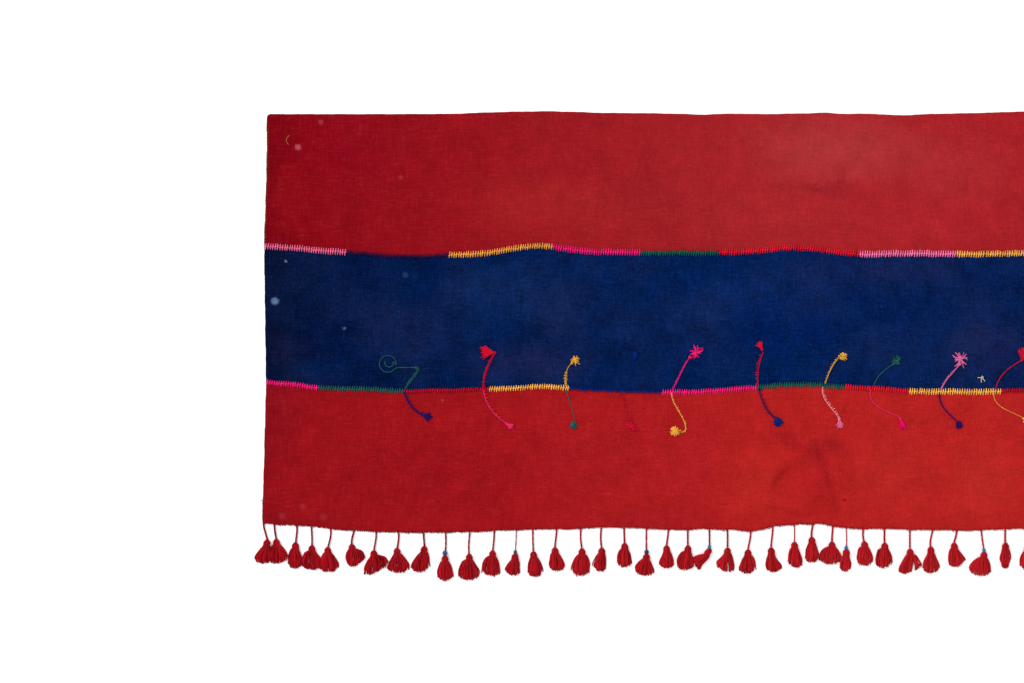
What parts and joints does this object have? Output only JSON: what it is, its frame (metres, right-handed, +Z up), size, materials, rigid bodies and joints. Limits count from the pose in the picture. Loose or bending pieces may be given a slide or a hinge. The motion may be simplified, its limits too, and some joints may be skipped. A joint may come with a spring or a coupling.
{
  "type": "kilim runner",
  "caption": "Long flat-woven wool runner of joined red and blue bands, with hanging tassels along one long side and coloured yarn tails along a seam.",
  "frame": {"origin": "middle of the cloth's underside, on the floor", "axes": "+X along the runner, +Y across it towards the plain long side, +Z up off the floor"},
  "size_m": [2.6405, 1.0095, 0.009],
  "materials": {
    "red_wool": "weft-faced wool cloth, matt",
    "blue_wool": "weft-faced wool cloth, matt",
    "tassel_wool": "loose twisted wool yarn, matt",
    "yarn_green": "wool yarn, matt",
    "yarn_navy": "wool yarn, matt",
    "yarn_scarlet": "wool yarn, matt",
    "yarn_pink": "wool yarn, matt",
    "yarn_gold": "wool yarn, matt",
    "yarn_magenta": "wool yarn, matt",
    "yarn_rose": "wool yarn, matt"
  },
  "bodies": {
    "root": {"panel_red_plain": "red_wool", "panel_blue": "blue_wool", "panel_red_tasselled": "red_wool", "tassel_row_1": "tassel_wool", "tassel_row_2": "tassel_wool", "tassel_row_3": "tassel_wool", "tassel_row_4": "tassel_wool", "tassel_row_5": "tassel_wool", "tassel_row_6": "tassel_wool", "tail_up_01": "yarn_green", "tail_down_01": "yarn_navy", "tail_up_02": "yarn_scarlet", "tail_down_02": "yarn_pink", "tail_up_03": "yarn_gold", "tail_down_03": "yarn_green", "tail_up_04": "yarn_navy", "tail_down_04": "yarn_scarlet", "tail_up_05": "yarn_magenta", "tail_down_05": "yarn_gold", "tail_up_06": "yarn_scarlet", "tail_down_06": "yarn_navy", "tail_up_07": "yarn_gold", "tail_down_07": "yarn_rose", "tail_up_08": "yarn_green", "tail_down_08": "yarn_pink", "tail_up_09": "yarn_rose", "tail_down_09": "yarn_navy", "tail_up_10": "yarn_scarlet", "tail_down_10": "yarn_gold", "tail_up_11": "yarn_green", "tail_down_11": "yarn_navy", "tail_up_12": "yarn_scarlet", "tail_down_12": "yarn_pink", "tail_up_13": "yarn_gold", "tail_down_13": "yarn_green", "tail_up_14": "yarn_navy", "tail_down_14": "yarn_scarlet", "tail_up_15": "yarn_magenta", "tail_down_15": "yarn_gold"}
  },
  "joints": []
}
